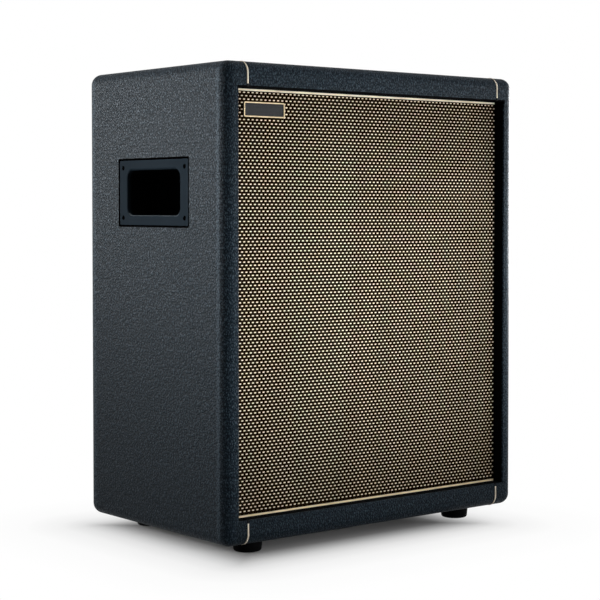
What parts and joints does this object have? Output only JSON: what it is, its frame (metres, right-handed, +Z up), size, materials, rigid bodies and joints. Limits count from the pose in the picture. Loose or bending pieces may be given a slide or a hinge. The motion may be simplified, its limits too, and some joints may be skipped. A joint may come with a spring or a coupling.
{
  "type": "guitar speaker cabinet",
  "caption": "Compact upright closed-back guitar speaker cabinet: vinyl-covered plywood case, recessed cloth grille, side handles, rubber feet and a full-range driver.",
  "frame": {"origin": "on the floor, under the middle of the cabinet", "axes": "+Z up, -Y out of the grille, +X to the right of someone who faces the grille"},
  "size_m": [0.381, 0.241, 0.4674],
  "materials": {
    "vinyl": "levant-grain vinyl, satin",
    "cream_trim": "smooth moulded bead",
    "grille_weave": "black weave with cream floats",
    "plywood": "raw birch plywood",
    "hook_and_loop": "matt",
    "black_plastic": "fine spark-eroded moulding",
    "foot_rubber": "matt",
    "black_screw": "black phosphate",
    "zinc_steel": "bright zinc",
    "basket_enamel": "satin enamel",
    "ferrite": "raw ferrite",
    "cone_paper": "pressed paper",
    "treated_cloth": "resin-treated cloth",
    "copper": "enamelled wire",
    "fibre": "pressed fibre",
    "tinned_brass": "tinned",
    "red_insulation": "smooth",
    "black_insulation": "smooth"
  },
  "bodies": {
    "cabinet": {"back_battens": "plywood", "back_covering": "vinyl", "back_panel": "plywood", "back_screws": "black_screw", "baffle_battens": "plywood", "baffle_board": "plywood", "baffle_screws": "black_screw", "bottom_panel": "plywood", "covering_bottom": "vinyl", "covering_left": "vinyl", "covering_right": "vinyl", "covering_top": "vinyl", "driver_back_plate": "zinc_steel", "driver_basket": "basket_enamel", "driver_bolts": "black_screw", "driver_braids": "copper", "driver_front_plate": "zinc_steel", "driver_gasket": "fibre", "driver_inserts": "zinc_steel", "driver_magnet": "ferrite", "driver_spider": "treated_cloth", "driver_surround": "treated_cloth", "foot_front_left": "foot_rubber", "foot_front_right": "foot_rubber", "foot_rear_left": "foot_rubber", "foot_rear_right": "foot_rubber", "foot_screws": "zinc_steel", "foot_washers": "zinc_steel", "grille_bead_bottom": "cream_trim", "grille_bead_top": "cream_trim", "grille_cloth": "grille_weave", "grille_frame": "plywood", "grille_hook_tabs": "hook_and_loop", "grille_loop_tabs": "hook_and_loop", "handle_screws": "black_screw", "input_jack": "black_plastic", "jack_dish": "black_plastic", "jack_dish_screws": "black_screw", "jack_nuts": "zinc_steel", "left_handle": "black_plastic", "left_side_panel": "plywood", "link_jack": "black_plastic", "piping_bottom_left": "cream_trim", "piping_bottom_right": "cream_trim", "piping_top_left": "cream_trim", "piping_top_right": "cream_trim", "right_handle": "black_plastic", "right_side_panel": "plywood", "terminal_board": "fibre", "terminal_lugs": "tinned_brass", "top_panel": "plywood", "wire_black": "black_insulation", "wire_red": "red_insulation"},
    "cone_assembly": {"driver_cone": "cone_paper", "driver_dust_cap": "cone_paper", "voice_coil_former": "cone_paper", "voice_coil_winding": "copper"}
  },
  "joints": [
    {"name": "cone_travel", "type": "slide", "parent": "cabinet", "child": "cone_assembly", "axis": [0, -1, 0], "range_m": [-0.004, 0.004], "stiffness_N_per_m": 6000, "deforming": ["driver_surround", "driver_spider", "driver_braids"]}
  ]
}
